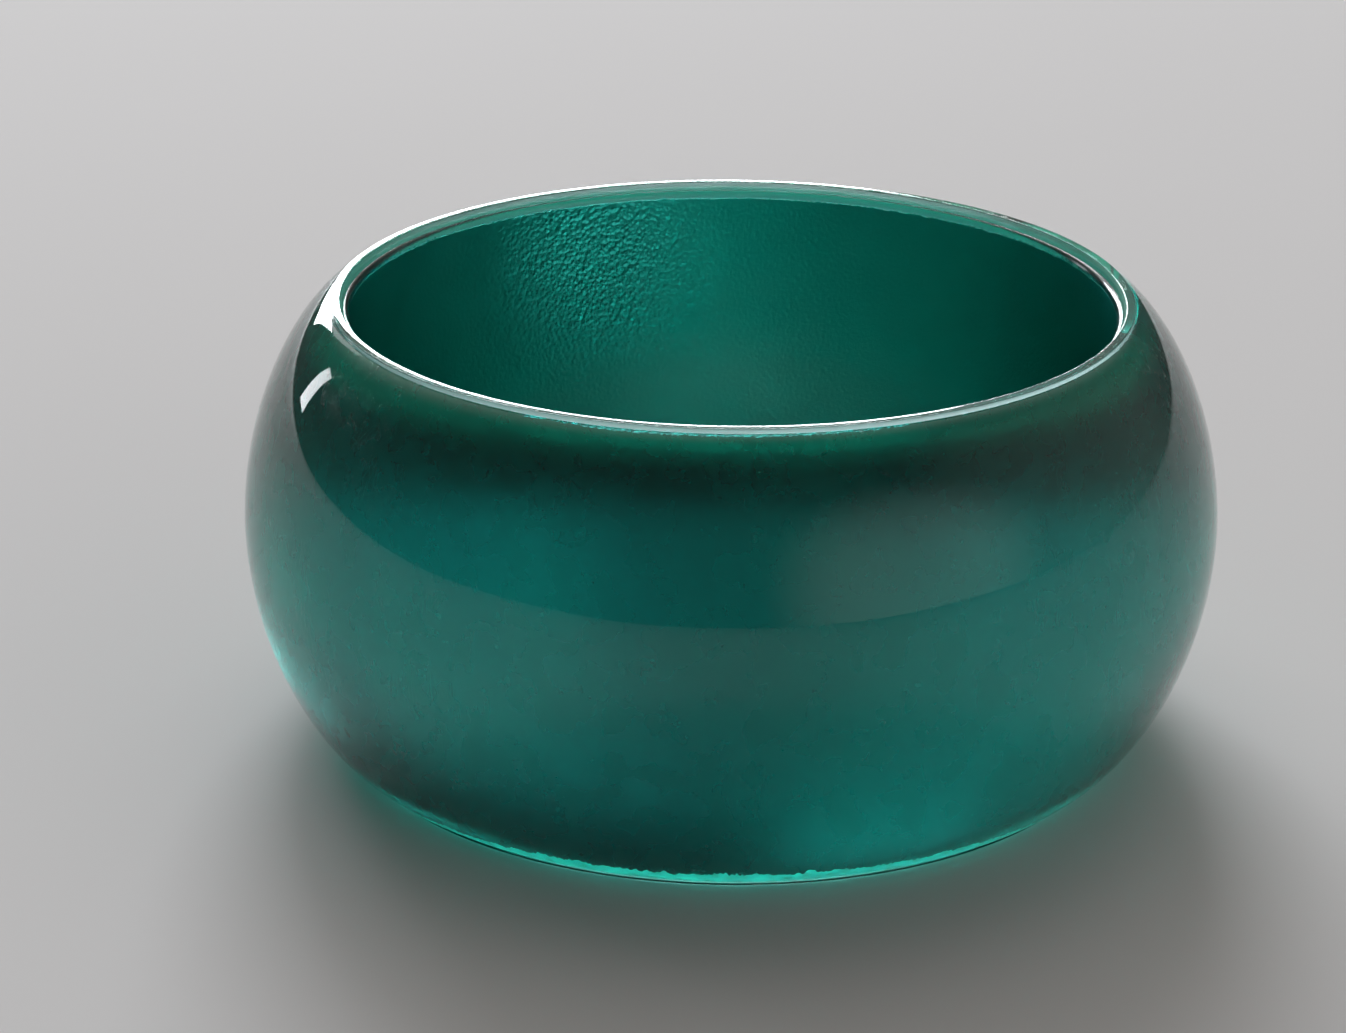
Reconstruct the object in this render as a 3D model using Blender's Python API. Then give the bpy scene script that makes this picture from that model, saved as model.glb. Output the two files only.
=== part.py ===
"""A wide slip-on bangle: a thick domed ring of clear tinted acrylic, lined with a metallic film under a thin sleeve.

The bangle stands on its lower rim. The origin is at the centre of the face it stands on, and +Z is the axis
that the hand passes along. Lengths are in metres.
"""

import math

import bmesh
import bpy

# Driving dimensions.
BANGLE_HEIGHT = 0.0395
BORE_RADIUS = 0.0330
DOME_RADIUS = 0.0426

# The flat lip at each rim, and the small bevel between it and the bore.
LIP_OUTER_RADIUS = 0.0346
LIP_INNER_RADIUS = 0.0338
LIP_DEPTH = 0.0004
LIP_CHAMFER = 0.0001
BEVEL_DEPTH = 0.00025

# The dome is a superellipse between the two lips.
DOME_STEPS = 22
DOME_OUTWARD_POWER = 1.42
DOME_UPWARD_POWER = 1.9

# The layers inside the ring, from the bore outwards.
SLEEVE_THICKNESS = 0.00035
LAYER_GAP = 0.0001
FILM_THICKNESS = 0.00015
SLEEVE_RECESS = 0.0007
SLEEVE_NOSE = 0.00065
SLEEVE_NOSE_STEPS = 3
FILM_TOP_RECESS = 0.0015
FILM_FOOT_RECESS = 0.0023

# All the rings share one set of divisions, so that their flats lie parallel and never cross.
TURN_STEPS = 72
SMOOTH_ANGLE = math.radians(32)

SLEEVE_OUTER_RADIUS = BORE_RADIUS + SLEEVE_THICKNESS
FILM_INNER_RADIUS = SLEEVE_OUTER_RADIUS + LAYER_GAP
FILM_OUTER_RADIUS = FILM_INNER_RADIUS + FILM_THICKNESS
RING_BORE_RADIUS = FILM_OUTER_RADIUS + LAYER_GAP

ACRYLIC_COLOUR = (0.010, 0.270, 0.200, 1.0)
FILM_COLOUR = (0.006, 0.120, 0.080, 1.0)
SLEEVE_COLOUR = (0.010, 0.160, 0.110, 1.0)


def clear_scene():
    for item in list(bpy.data.objects):
        bpy.data.objects.remove(item, do_unlink=True)


def make_material(name, colour, roughness, metallic=0.0, transmission=0.0):
    material = bpy.data.materials.new(name)
    material.use_nodes = True
    shader = material.node_tree.nodes["Principled BSDF"]
    shader.inputs["Base Color"].default_value = colour
    shader.inputs["Roughness"].default_value = roughness
    shader.inputs["Metallic"].default_value = metallic
    shader.inputs["Transmission Weight"].default_value = transmission
    material.diffuse_color = colour
    return material


def turned_ring(name, profile, material):
    """A closed ring, turned about Z from a closed outline of (radius, height) points."""
    mesh = bpy.data.meshes.new(name)
    work = bmesh.new()
    outline = [work.verts.new((radius, 0.0, height)) for radius, height in profile]
    edges = [work.edges.new((a, b)) for a, b in zip(outline, outline[1:] + outline[:1])]
    bmesh.ops.spin(
        work,
        geom=outline + edges,
        cent=(0.0, 0.0, 0.0),
        axis=(0.0, 0.0, 1.0),
        angle=2.0 * math.pi,
        steps=TURN_STEPS,
        use_merge=True,
    )
    bmesh.ops.recalc_face_normals(work, faces=work.faces)
    work.to_mesh(mesh)
    work.free()
    mesh.shade_smooth()
    mesh.set_sharp_from_angle(angle=SMOOTH_ANGLE)
    ring = bpy.data.objects.new(name, mesh)
    bpy.context.collection.objects.link(ring)
    ring.data.materials.append(material)
    return ring


def mirrored_in_height(lower_half):
    """The closed outline whose upper half mirrors the given lower half about mid height."""
    upper_half = [(radius, BANGLE_HEIGHT - height) for radius, height in reversed(lower_half)]
    return lower_half + upper_half


def dome_outline():
    """The outer curve of the ring, from the lower lip to the upper one."""
    half_height = BANGLE_HEIGHT / 2 - LIP_DEPTH
    bulge = DOME_RADIUS - LIP_OUTER_RADIUS
    points = []
    for step in range(DOME_STEPS + 1):
        upward = -math.cos(math.pi * step / DOME_STEPS)
        fullness = max(0.0, 1.0 - abs(upward) ** DOME_UPWARD_POWER)
        outward = fullness ** (1.0 / DOME_OUTWARD_POWER)
        points.append((LIP_OUTER_RADIUS + bulge * outward, BANGLE_HEIGHT / 2 + half_height * upward))
    return points


def make_dome_ring():
    """The thick clear body, with a straight bore, a flat lip at each rim and a domed outside."""
    lower_rim = [
        (RING_BORE_RADIUS, BEVEL_DEPTH),
        (LIP_INNER_RADIUS, 0.0),
        (LIP_OUTER_RADIUS - LIP_CHAMFER, 0.0),
        (LIP_OUTER_RADIUS, LIP_CHAMFER),
    ]
    upper_rim = [(radius, BANGLE_HEIGHT - height) for radius, height in reversed(lower_rim)]
    material = make_material("tinted_acrylic", ACRYLIC_COLOUR, roughness=0.04, transmission=0.8)
    return turned_ring("dome_ring", lower_rim + dome_outline() + upper_rim, material)


def make_foil_lining():
    """The thin metallic film between the ring and the sleeve, ending short of both rims."""
    top = BANGLE_HEIGHT - FILM_TOP_RECESS
    outline = [
        (FILM_INNER_RADIUS, FILM_FOOT_RECESS),
        (FILM_OUTER_RADIUS, FILM_FOOT_RECESS),
        (FILM_OUTER_RADIUS, top),
        (FILM_INNER_RADIUS, top),
    ]
    material = make_material("emerald_film", FILM_COLOUR, roughness=0.35, metallic=0.8)
    return turned_ring("foil_lining", outline, material)


def make_inner_sleeve():
    """The thin sleeve that the hand slides through, with rounded noses just inside the rims."""
    lower_half = []
    for step in range(SLEEVE_NOSE_STEPS + 1):
        turn = 0.5 * math.pi * step / SLEEVE_NOSE_STEPS
        radius = BORE_RADIUS + SLEEVE_THICKNESS * (1.0 - math.cos(turn))
        height = SLEEVE_RECESS + SLEEVE_NOSE * (1.0 - math.sin(turn))
        lower_half.append((radius, height))
    material = make_material("satin_sleeve", SLEEVE_COLOUR, roughness=0.3)
    return turned_ring("inner_sleeve", mirrored_in_height(lower_half), material)


clear_scene()
make_dome_ring()
make_foil_lining()
make_inner_sleeve()
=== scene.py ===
"""A domed bangle: a thick tinted acrylic ring over a crinkled film, with a thin satin sleeve inside.

Lengths are in metres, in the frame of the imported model. The bangle stands on its lower rim, with the
axis of its bore through the origin.
"""

import math

import bpy
from mathutils import Matrix, Vector, noise


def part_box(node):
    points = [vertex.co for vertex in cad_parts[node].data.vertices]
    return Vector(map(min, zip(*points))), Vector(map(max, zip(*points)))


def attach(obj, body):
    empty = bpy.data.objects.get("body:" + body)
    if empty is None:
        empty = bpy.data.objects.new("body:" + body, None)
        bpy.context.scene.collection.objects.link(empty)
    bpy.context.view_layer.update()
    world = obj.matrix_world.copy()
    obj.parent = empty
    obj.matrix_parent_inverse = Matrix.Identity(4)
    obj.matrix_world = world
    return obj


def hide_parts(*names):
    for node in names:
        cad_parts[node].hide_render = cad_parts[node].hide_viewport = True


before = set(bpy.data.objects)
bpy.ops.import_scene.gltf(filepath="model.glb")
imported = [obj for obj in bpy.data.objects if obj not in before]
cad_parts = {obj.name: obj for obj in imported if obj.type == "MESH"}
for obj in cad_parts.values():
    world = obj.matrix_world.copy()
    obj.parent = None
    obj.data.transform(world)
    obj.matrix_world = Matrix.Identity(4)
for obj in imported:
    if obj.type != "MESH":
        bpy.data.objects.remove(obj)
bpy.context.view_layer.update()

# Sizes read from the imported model.
RING_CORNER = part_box("dome_ring")[1]
DOME_RADIUS = RING_CORNER[0]
HEIGHT = RING_CORNER[2]
MID_HEIGHT = HEIGHT / 2

# The turned outline of the ring, as designed.
BORE_RADIUS = 0.0330
LIP_INNER_RADIUS = 0.0338
LIP_OUTER_RADIUS = 0.0346
LIP_DEPTH = 0.0004
LIP_ROUNDING = 0.00013
BEVEL_DEPTH = 0.00035
BEVEL_ROUNDING = 0.00006
DOME_OUTWARD_POWER = 1.42
DOME_UPWARD_POWER = 1.9

# The bonded layers. The film is sunk a little into the clear pieces on both sides, as glue wets it.
# Each recess is the distance from a rim to the end of a layer.
FILM_INNER_RADIUS = 0.03345
FILM_OUTER_RADIUS = 0.03360
GLUE_DEPTH = 0.00002
FILM_TOP_RECESS = 0.0015
FILM_FOOT_RECESS = 0.0023
SLEEVE_RECESS = 0.0007
SLEEVE_NOSE = 0.00065

# How finely the outlines and the turns are divided. The film needs many steps for its torn end.
DOME_STEPS = 96
NOSE_STEPS = 12
TURN_STEPS = 288
FILM_TURN_STEPS = 1440
FILM_ROWS = 12
SMOOTH_ANGLE = math.radians(40.0)

# Radii between which a look changes: from the bevel to the ground bore, and from the outward face of
# the film to its inward one.
BORE_EDGE = (0.03378, 0.03372)
FILM_MIDDLE = (0.03355, 0.03350)

# Light path and colour. Each pair of colours is a surface's darker and lighter tone.
ACRYLIC_IOR = 1.49
ACRYLIC_DENSITY = 200.0
ACRYLIC_ABSORPTION = (0.035, 0.958, 0.940, 1.0)
ACRYLIC_TINT = (0.97, 1.0, 0.99, 1.0)
# Painted light: the deeper foot tint and the foot glow stand for light that the thick ring gathers.
PAINTED_FOOT_TINT = (0.08, 1.0, 0.88, 1.0)
PAINTED_FOOT_GLOW = (0.0, 1.0, 0.75, 1.0)
FILM_OUTWARD_TONES = ((0.018, 0.280, 0.275, 1.0), (0.027, 0.365, 0.340, 1.0))
FILM_INWARD_TONES = ((0.028, 0.535, 0.470, 1.0), (0.046, 0.680, 0.600, 1.0))
# A painted highlight: the lighter green of the film's inward face round the creased spot.
FILM_PAINTED_HIGHLIGHT_COLOUR = (0.080, 1.000, 0.900, 1.0)
FLOOR_TONES = ((0.77, 0.755, 0.755, 1.0), (0.80, 0.785, 0.79, 1.0))
ROOM_COLOUR = (1.0, 0.955, 0.91, 1.0)
ROOM_STRENGTH = 0.085
DAYLIGHT = (0.93, 0.965, 1.0)
GROUND_ROUGHNESS = 0.85

# Where the film creased most as it was pressed on, high on the far wall of the bore. Round it the
# film's inward face also carries a painted highlight, a lighter green.
CREASE_AND_HIGHLIGHT_SPOT = (-0.0128, 0.0310, 0.0330)

# How far the softboxes stand from the bangle, and how far the floor reaches from it.
PANEL_DISTANCE = 3.0
FLOOR_REACH = 6.0


# --- Meshes ---------------------------------------------------------------------------------------


def mesh_object(name, vertices, faces):
    mesh = bpy.data.meshes.new(name)
    mesh.from_pydata(vertices, [], faces)
    mesh.validate()
    mesh.shade_smooth()
    mesh.set_sharp_from_angle(angle=SMOOTH_ANGLE)
    piece = bpy.data.objects.new(name, mesh)
    bpy.context.collection.objects.link(piece)
    return piece


def turned_piece(name, outline_at, steps):
    """A closed ring about Z. outline_at(turn) gives the loop of (radius, height) points at one angle."""
    vertices = []
    for step in range(steps):
        turn = 2.0 * math.pi * step / steps
        for radius, height in outline_at(turn):
            vertices.append((radius * math.cos(turn), radius * math.sin(turn), height))
    count = len(vertices) // steps
    faces = []
    for step in range(steps):
        here = step * count
        there = (step + 1) % steps * count
        for point in range(count):
            following = (point + 1) % count
            faces.append((here + point, there + point, there + following, here + following))
    return mesh_object(name, vertices, faces)


def rounded_corner(corner, before, after, radius, steps=4):
    """Points that round one convex corner of an outline, between the directions to its neighbours."""
    corner, before, after = Vector(corner), Vector(before), Vector(after)
    start = corner + (before - corner).normalized() * radius
    end = corner + (after - corner).normalized() * radius
    points = []
    for step in range(steps + 1):
        share = step / steps
        point = start.lerp(corner, share).lerp(corner.lerp(end, share), share)
        points.append((point.x, point.y))
    return points


def mirrored_in_height(lower):
    """The points that mirror the given ones about mid height, in the order that continues the outline."""
    return [(radius, HEIGHT - height) for radius, height in reversed(lower)]


def dome_points():
    """The superellipse between the lower lip and the upper one."""
    half_height = MID_HEIGHT - LIP_DEPTH
    bulge = DOME_RADIUS - LIP_OUTER_RADIUS
    points = []
    for step in range(DOME_STEPS + 1):
        upward = -math.cos(math.pi * step / DOME_STEPS)
        fullness = max(0.0, 1.0 - abs(upward) ** DOME_UPWARD_POWER)
        outward = fullness ** (1.0 / DOME_OUTWARD_POWER)
        points.append((LIP_OUTER_RADIUS + bulge * outward, MID_HEIGHT + half_height * upward))
    return points


def ring_outline():
    """The D-shaped section of the clear ring: down its bore, out round the dome and back to the bore."""
    bore = FILM_OUTER_RADIUS - GLUE_DEPTH
    bevel_top = (bore, BEVEL_DEPTH)
    lip_inner = (LIP_INNER_RADIUS, 0.0)
    lip_outer = (LIP_OUTER_RADIUS, 0.0)
    lower = [(bore, MID_HEIGHT * share) for share in (0.9, 0.6, 0.3, 0.1)]
    lower += rounded_corner(bevel_top, (bore, MID_HEIGHT), lip_inner, BEVEL_ROUNDING)
    lower += rounded_corner(lip_inner, bevel_top, lip_outer, BEVEL_ROUNDING)
    lower += rounded_corner(lip_outer, lip_inner, (LIP_OUTER_RADIUS, LIP_DEPTH), LIP_ROUNDING, steps=6)
    return lower + dome_points() + mirrored_in_height(lower)


def make_ring():
    outline = ring_outline()
    piece = turned_piece("acrylic_ring", lambda turn: outline, TURN_STEPS)
    piece.data.materials.append(acrylic_material())
    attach(piece, "root")
    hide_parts("dome_ring")


def ragged(turn, seed, scale, size):
    """A repeatable wavering height along the rim, from noise walked round a circle."""
    spot = Vector((math.cos(turn) * scale, math.sin(turn) * scale, seed))
    return size * noise.noise(spot)


def film_end(turn, seed, tear):
    """How far the film's end strays from its recess, at one angle. A neat cut has a small tear."""
    wander = ragged(turn, seed, 6.0, 0.00018)
    teeth = ragged(turn, seed + 3.7, 60.0, 0.00010)
    chips = max(0.0, ragged(turn, seed + 9.1, 22.0, 1.0) - 0.25) * 0.0007
    shreds = ragged(turn, seed + 5.2, 180.0, 0.00030)
    return tear * (wander + teeth + shreds + chips)


def make_film():
    def outline_at(turn):
        low = FILM_FOOT_RECESS + film_end(turn, 1.3, tear=1.0)
        high = HEIGHT - FILM_TOP_RECESS - film_end(turn, 5.9, tear=0.4)
        heights = [low + (high - low) * row / FILM_ROWS for row in range(FILM_ROWS + 1)]
        inner = [(FILM_INNER_RADIUS, height) for height in reversed(heights)]
        outer = [(FILM_OUTER_RADIUS, height) for height in heights]
        return inner + outer

    piece = turned_piece("emerald_film", outline_at, FILM_TURN_STEPS)
    piece.data.materials.append(film_material())
    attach(piece, "root")
    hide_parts("foil_lining")


def make_sleeve():
    outer = FILM_INNER_RADIUS + GLUE_DEPTH
    thickness = outer - BORE_RADIUS
    lower = [(BORE_RADIUS, MID_HEIGHT * share) for share in (0.9, 0.6, 0.3)]
    for step in range(NOSE_STEPS + 1):
        turn = 0.5 * math.pi * step / NOSE_STEPS
        radius = BORE_RADIUS + thickness * (1.0 - math.cos(turn))
        height = SLEEVE_RECESS + SLEEVE_NOSE * (1.0 - math.sin(turn))
        lower.append((radius, height))
    outline = lower + mirrored_in_height(lower)
    piece = turned_piece("satin_sleeve", lambda turn: outline, TURN_STEPS)
    piece.data.materials.append(sleeve_material())
    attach(piece, "root")
    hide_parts("inner_sleeve")


# --- Materials ------------------------------------------------------------------------------------


def new_material(name):
    material = bpy.data.materials.new(name)
    material.use_nodes = True
    tree = material.node_tree
    return material, tree, tree.nodes["Principled BSDF"]


def place(tree, stretch=(1.0, 1.0, 1.0), turn=(0.0, 0.0, 0.0)):
    coordinates = tree.nodes.new("ShaderNodeTexCoord")
    mapping = tree.nodes.new("ShaderNodeMapping")
    mapping.inputs["Scale"].default_value = stretch
    mapping.inputs["Rotation"].default_value = turn
    tree.links.new(coordinates.outputs["Object"], mapping.inputs["Vector"])
    return mapping.outputs["Vector"]


def distance_from_axis(tree):
    """How far the shaded point lies from the axis of the bore."""
    node = tree.nodes.new("ShaderNodeVectorMath")
    node.operation = "LENGTH"
    tree.links.new(place(tree, stretch=(1.0, 1.0, 0.0)), node.inputs[0])
    return node.outputs["Value"]


def distance_from(tree, spot):
    """How far the shaded point lies from a spot, in metres."""
    node = tree.nodes.new("ShaderNodeVectorMath")
    node.operation = "DISTANCE"
    tree.links.new(place(tree), node.inputs[0])
    node.inputs[1].default_value = spot
    return node.outputs["Value"]


def height_above_floor(tree):
    node = tree.nodes.new("ShaderNodeSeparateXYZ")
    tree.links.new(place(tree), node.inputs["Vector"])
    return node.outputs["Z"]


def noise_field(tree, where, scale, detail=3.0, rough=0.5):
    node = tree.nodes.new("ShaderNodeTexNoise")
    node.inputs["Scale"].default_value = scale
    node.inputs["Detail"].default_value = detail
    node.inputs["Roughness"].default_value = rough
    tree.links.new(where, node.inputs["Vector"])
    return node.outputs["Fac"]


def cells(tree, where, scale):
    """The distance to the nearest of many scattered points, which makes rounded cells."""
    node = tree.nodes.new("ShaderNodeTexVoronoi")
    node.inputs["Scale"].default_value = scale
    tree.links.new(where, node.inputs["Vector"])
    return node.outputs["Distance"]


def ranged(tree, value, low, high, to_low, to_high):
    """The value moved from one range to another, and held at its ends."""
    node = tree.nodes.new("ShaderNodeMapRange")
    node.inputs["From Min"].default_value = low
    node.inputs["From Max"].default_value = high
    node.inputs["To Min"].default_value = to_low
    node.inputs["To Max"].default_value = to_high
    tree.links.new(value, node.inputs["Value"])
    return node.outputs["Result"]


def combine(tree, operation, first, second):
    """A sum, product or the like of two sockets, or of a socket and a number."""
    node = tree.nodes.new("ShaderNodeMath")
    node.operation = operation
    for socket, value in zip(node.inputs, (first, second)):
        if isinstance(value, (int, float)):
            socket.default_value = value
        else:
            tree.links.new(value, socket)
    return node.outputs["Value"]


def mixed_colour(tree, share, first, second):
    """A colour between the first, at share 0, and the second, at share 1."""
    node = tree.nodes.new("ShaderNodeMix")
    node.data_type = "RGBA"
    sockets = [socket for socket in node.inputs if socket.type == "RGBA"]
    for socket, colour in zip(sockets, (first, second)):
        if isinstance(colour, tuple):
            socket.default_value = colour
        else:
            tree.links.new(colour, socket)
    tree.links.new(share, node.inputs["Factor"])
    return next(socket for socket in node.outputs if socket.type == "RGBA")


def bump(tree, height, distance, normal=None):
    node = tree.nodes.new("ShaderNodeBump")
    node.inputs["Strength"].default_value = 1.0
    node.inputs["Distance"].default_value = distance
    tree.links.new(height, node.inputs["Height"])
    if normal is not None:
        tree.links.new(normal, node.inputs["Normal"])
    return node.outputs["Normal"]


def fine_scratches(tree, turn, scale):
    """Thin hairlines that run one way: the crest of a noise that is drawn out along one axis."""
    where = place(tree, stretch=(1.0, 1.0, 0.035), turn=turn)
    field = noise_field(tree, where, scale, detail=2.0, rough=0.4)
    crest = combine(tree, "ABSOLUTE", combine(tree, "SUBTRACT", field, 0.5), 0.0)
    line = ranged(tree, crest, 0.0, 0.006, 1.0, 0.0)
    patches = ranged(tree, noise_field(tree, place(tree), 90.0), 0.5, 0.65, 0.0, 1.0)
    return combine(tree, "MULTIPLY", line, patches)


def absorption(tree, colour, density):
    volume = tree.nodes.new("ShaderNodeVolumeAbsorption")
    volume.inputs["Color"].default_value = colour
    volume.inputs["Density"].default_value = density
    tree.links.new(volume.outputs["Volume"], tree.nodes["Material Output"].inputs["Volume"])


def acrylic_material():
    """Polished tinted acrylic, with hand-polish waves and hairlines.

    Its bore is ground. Below the film's end it has a painted glow: a weak speckled light of its own
    and a deeper turquoise tint, which stand for the light that the thick ring gathers.
    """
    material, tree, shader = new_material("tinted_acrylic")
    bore = ranged(tree, distance_from_axis(tree), *BORE_EDGE, 0.0, 1.0)
    lower_half = ranged(tree, height_above_floor(tree), MID_HEIGHT - 0.001, MID_HEIGHT, 1.0, 0.0)
    # Painted glow: the lower ground bore gets a deeper tint and a weak speckled light of its own.
    painted_glow_zone = combine(tree, "MULTIPLY", bore, lower_half)
    tree.links.new(mixed_colour(tree, painted_glow_zone, ACRYLIC_TINT, PAINTED_FOOT_TINT), shader.inputs["Base Color"])
    painted_glints = ranged(tree, noise_field(tree, place(tree), 1500.0, detail=2.0), 0.35, 0.7, 0.08, 0.5)
    tree.links.new(combine(tree, "MULTIPLY", painted_glow_zone, painted_glints), shader.inputs["Emission Strength"])
    shader.inputs["Emission Color"].default_value = PAINTED_FOOT_GLOW
    shader.inputs["Transmission Weight"].default_value = 1.0
    shader.inputs["IOR"].default_value = ACRYLIC_IOR
    haze = ranged(tree, noise_field(tree, place(tree), 120.0), 0.35, 0.75, 0.012, 0.045)
    scratches = combine(
        tree,
        "MAXIMUM",
        fine_scratches(tree, (0.4, 0.9, 0.0), 1500.0),
        fine_scratches(tree, (1.3, 0.2, 0.6), 1100.0),
    )
    polished = combine(tree, "ADD", haze, combine(tree, "MULTIPLY", scratches, 0.12))
    ground = combine(tree, "MULTIPLY", bore, GROUND_ROUGHNESS)
    tree.links.new(combine(tree, "MAXIMUM", polished, ground), shader.inputs["Roughness"])
    waves = bump(tree, noise_field(tree, place(tree), 55.0, detail=1.0), 0.00012)
    normal = bump(tree, scratches, 0.000004, normal=waves)
    tree.links.new(normal, shader.inputs["Normal"])
    absorption(tree, ACRYLIC_ABSORPTION, ACRYLIC_DENSITY)
    return material


def film_material():
    """Emerald metallised film: smooth outward, crinkled inward round one spot, with a painted highlight
    there.
    """
    material, tree, shader = new_material("emerald_film")
    blotches = ranged(tree, noise_field(tree, place(tree), 45.0, detail=4.0), 0.35, 0.65, 0.0, 1.0)
    outward_face = mixed_colour(tree, blotches, *FILM_OUTWARD_TONES)
    inward_face = mixed_colour(tree, blotches, *FILM_INWARD_TONES)
    inward = ranged(tree, distance_from_axis(tree), *FILM_MIDDLE, 0.0, 1.0)
    # Round this spot the crinkles are bumps, and the lighter green there is a painted highlight.
    spot = ranged(tree, distance_from(tree, CREASE_AND_HIGHLIGHT_SPOT), 0.003, 0.013, 1.0, 0.12)
    painted_highlight_face = mixed_colour(tree, spot, inward_face, FILM_PAINTED_HIGHLIGHT_COLOUR)
    tree.links.new(mixed_colour(tree, inward, outward_face, painted_highlight_face), shader.inputs["Base Color"])
    shader.inputs["Metallic"].default_value = 1.0
    grain = ranged(tree, noise_field(tree, place(tree), 400.0), 0.3, 0.7, 0.23, 0.31)
    rough = combine(tree, "ADD", grain, combine(tree, "MULTIPLY", inward, 0.06))
    tree.links.new(rough, shader.inputs["Roughness"])
    creased = combine(tree, "MULTIPLY", inward, spot)
    crinkles = combine(tree, "MULTIPLY", cells(tree, place(tree), 2200.0), creased)
    flakes = combine(tree, "MULTIPLY", noise_field(tree, place(tree), 2600.0, detail=2.0), inward)
    first = bump(tree, crinkles, 0.00011)
    tree.links.new(bump(tree, flakes, 0.00004, normal=first), shader.inputs["Normal"])
    return material


def sleeve_material():
    """A thin satin coat over the film, rubbed by the hand."""
    material, tree, shader = new_material("satin_sleeve")
    shader.inputs["Base Color"].default_value = ACRYLIC_TINT
    shader.inputs["Transmission Weight"].default_value = 1.0
    shader.inputs["IOR"].default_value = ACRYLIC_IOR
    rough = ranged(tree, noise_field(tree, place(tree), 250.0), 0.3, 0.7, 0.10, 0.22)
    tree.links.new(rough, shader.inputs["Roughness"])
    tree.links.new(bump(tree, noise_field(tree, place(tree), 700.0), 0.00002), shader.inputs["Normal"])
    absorption(tree, ACRYLIC_ABSORPTION, ACRYLIC_DENSITY)
    return material


# --- Studio ---------------------------------------------------------------------------------------


def make_floor():
    reach = FLOOR_REACH
    corners = [(-reach, -reach, 0.0), (reach, -reach, 0.0), (reach, reach, 0.0), (-reach, reach, 0.0)]
    floor = mesh_object("studio_floor", corners, [(0, 1, 2, 3)])
    material, tree, shader = new_material("pale_floor")
    tone = noise_field(tree, place(tree), 6.0)
    tree.links.new(mixed_colour(tree, tone, *FLOOR_TONES), shader.inputs["Base Color"])
    shader.inputs["Roughness"].default_value = 0.9
    shader.inputs["Specular IOR Level"].default_value = 0.2
    floor.data.materials.append(material)


def softbox(name, location, size, radiance, colour):
    """A rectangular lamp that faces the origin. Its power comes from the brightness of its face."""
    lamp = bpy.data.lights.new(name, "AREA")
    lamp.shape = "RECTANGLE"
    lamp.size, lamp.size_y = size
    lamp.energy = radiance * math.pi * size[0] * size[1]
    lamp.color = colour
    item = bpy.data.objects.new(name, lamp)
    item.location = location
    item.rotation_euler = (-location).to_track_quat("-Z", "Y").to_euler()
    bpy.context.collection.objects.link(item)


def towards(bearing, elevation):
    """The direction at a bearing from +Y towards +X, and at an elevation, both in degrees."""
    bearing, elevation = math.radians(bearing), math.radians(elevation)
    level = math.cos(elevation)
    return Vector((level * math.sin(bearing), level * math.cos(bearing), math.sin(elevation)))


def lit_panel(name, bearings, elevations, radiance, colour):
    """A softbox that fills a range of bearings and elevations, as seen from the bangle."""
    middle = towards(sum(bearings) / 2, sum(elevations) / 2)
    width = 2.0 * PANEL_DISTANCE * math.tan(math.radians(bearings[1] - bearings[0]) / 2)
    height = 2.0 * PANEL_DISTANCE * math.tan(math.radians(elevations[1] - elevations[0]) / 2)
    level = math.hypot(middle.x, middle.y)
    softbox(name, middle * PANEL_DISTANCE, (width * level, height), radiance, colour)


def soft_patch(tree, direction, full, faded, strength):
    """A patch of the room, bright round one direction. It fades out between two angles in degrees."""
    coordinates = tree.nodes.new("ShaderNodeTexCoord")
    node = tree.nodes.new("ShaderNodeVectorMath")
    node.operation = "DOT_PRODUCT"
    tree.links.new(coordinates.outputs["Generated"], node.inputs[0])
    node.inputs[1].default_value = direction
    low, high = math.cos(math.radians(faded)), math.cos(math.radians(full))
    patch = ranged(tree, node.outputs["Value"], low, high, 0.0, strength)
    patch.node.interpolation_type = "SMOOTHSTEP"
    return patch


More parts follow.
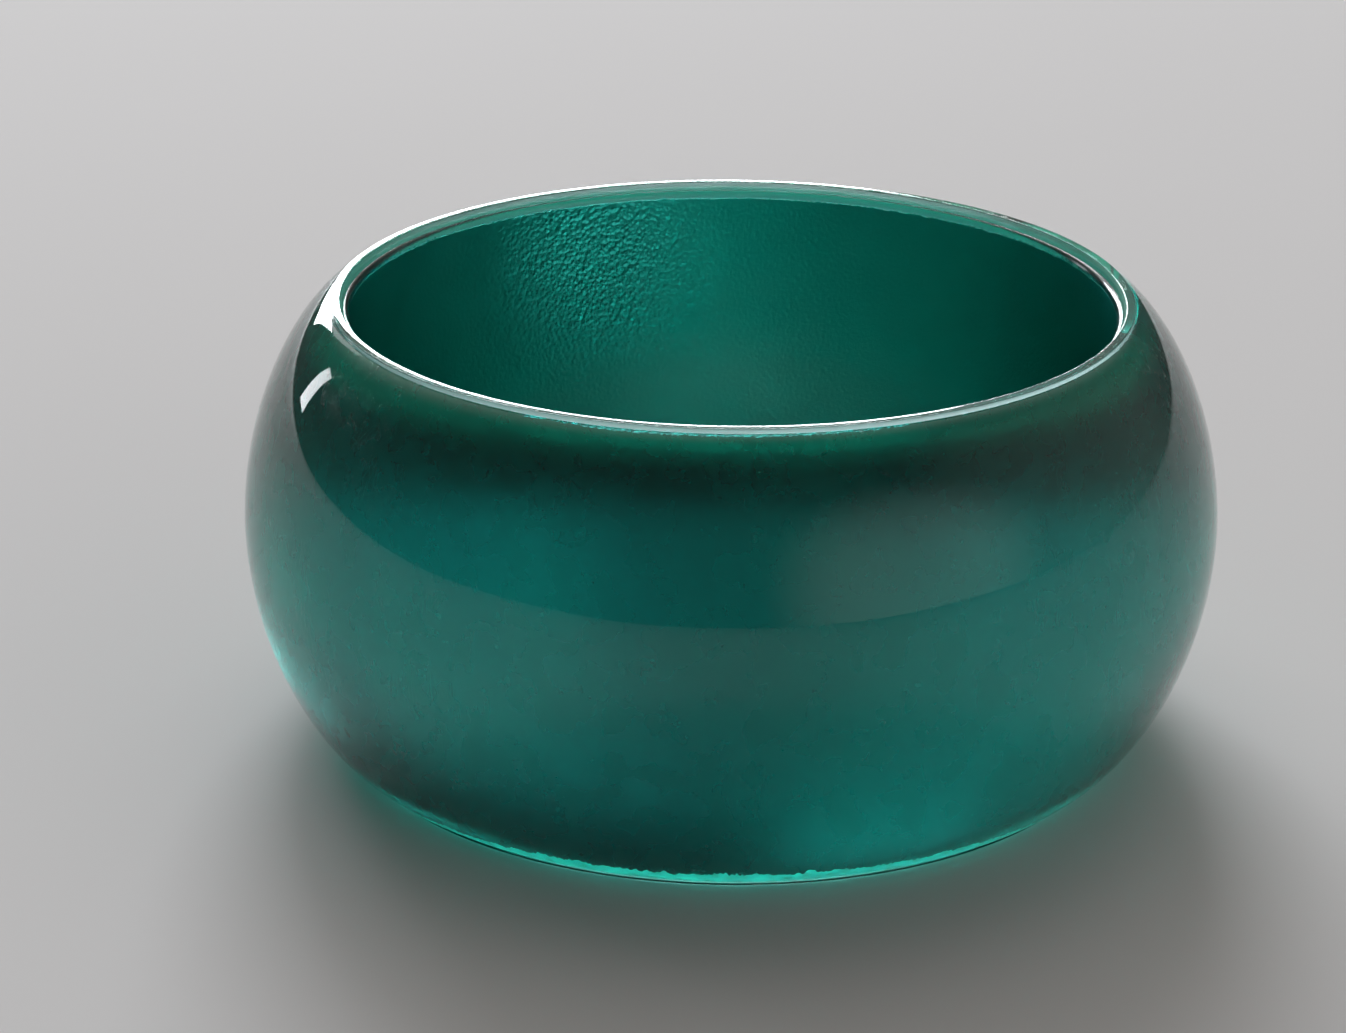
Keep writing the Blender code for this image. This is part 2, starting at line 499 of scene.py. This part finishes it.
def make_room():
    """The dim room: a warm grey, brighter overhead behind the bangle and along its right side."""
    world = bpy.data.worlds.new("studio")
    bpy.context.scene.world = world
    world.use_nodes = True
    tree = world.node_tree
    overhead = soft_patch(tree, towards(-5.0, 52.0), full=8.0, faded=45.0, strength=0.8)
    right = soft_patch(tree, towards(85.0, 18.0), full=5.0, faded=50.0, strength=0.25)
    front_right = soft_patch(tree, towards(138.0, 8.0), full=5.0, faded=36.0, strength=0.65)
    glow = combine(tree, "ADD", overhead, combine(tree, "ADD", right, front_right))
    background = tree.nodes["Background"]
    background.inputs["Color"].default_value = ROOM_COLOUR
    tree.links.new(combine(tree, "ADD", glow, ROOM_STRENGTH), background.inputs["Strength"])


def make_lights():
    """A tall window behind the bangle, in three panels, and a narrow one at its left."""
    lit_panel("window", (-29.5, 3.0), (5.0, 19.5), 12.5, DAYLIGHT)
    lit_panel("window_head", (-19.0, 8.0), (27.0, 46.0), 9.0, DAYLIGHT)
    lit_panel("window_side", (-31.0, -20.0), (19.5, 30.0), 1.2, DAYLIGHT)
    lit_panel("side_window", (-52.0, -47.5), (3.0, 16.0), 6.0, DAYLIGHT)


def make_camera():
    """The camera looks down at the bangle from a little above it, with the ring right of centre."""
    elevation = math.radians(21.37)
    distance = 0.30925
    roll = math.radians(0.33)
    height = MID_HEIGHT + distance * math.sin(elevation)
    place_of_camera = Vector((0.0, -distance * math.cos(elevation), height))
    target = Vector((-0.00504, 0.0, 0.01852))
    forward = (target - place_of_camera).normalized()
    right = forward.cross(Vector((0.0, 0.0, 1.0))).normalized()
    up = right.cross(forward)
    rolled_right = right * math.cos(roll) + up * math.sin(roll)
    rolled_up = up * math.cos(roll) - right * math.sin(roll)
    basis = Matrix((rolled_right, rolled_up, -forward)).transposed()
    data = bpy.data.cameras.new("camera")
    data.sensor_width = 36.0
    data.lens = 93.6
    data.clip_start = 0.01
    item = bpy.data.objects.new("camera", data)
    item.matrix_world = Matrix.Translation(place_of_camera) @ basis.to_4x4()
    bpy.context.collection.objects.link(item)
    bpy.context.scene.camera = item


make_camera()
make_ring()
make_film()
make_sleeve()
make_floor()
make_lights()
make_room()
bpy.context.scene.view_settings.view_transform = "Standard"
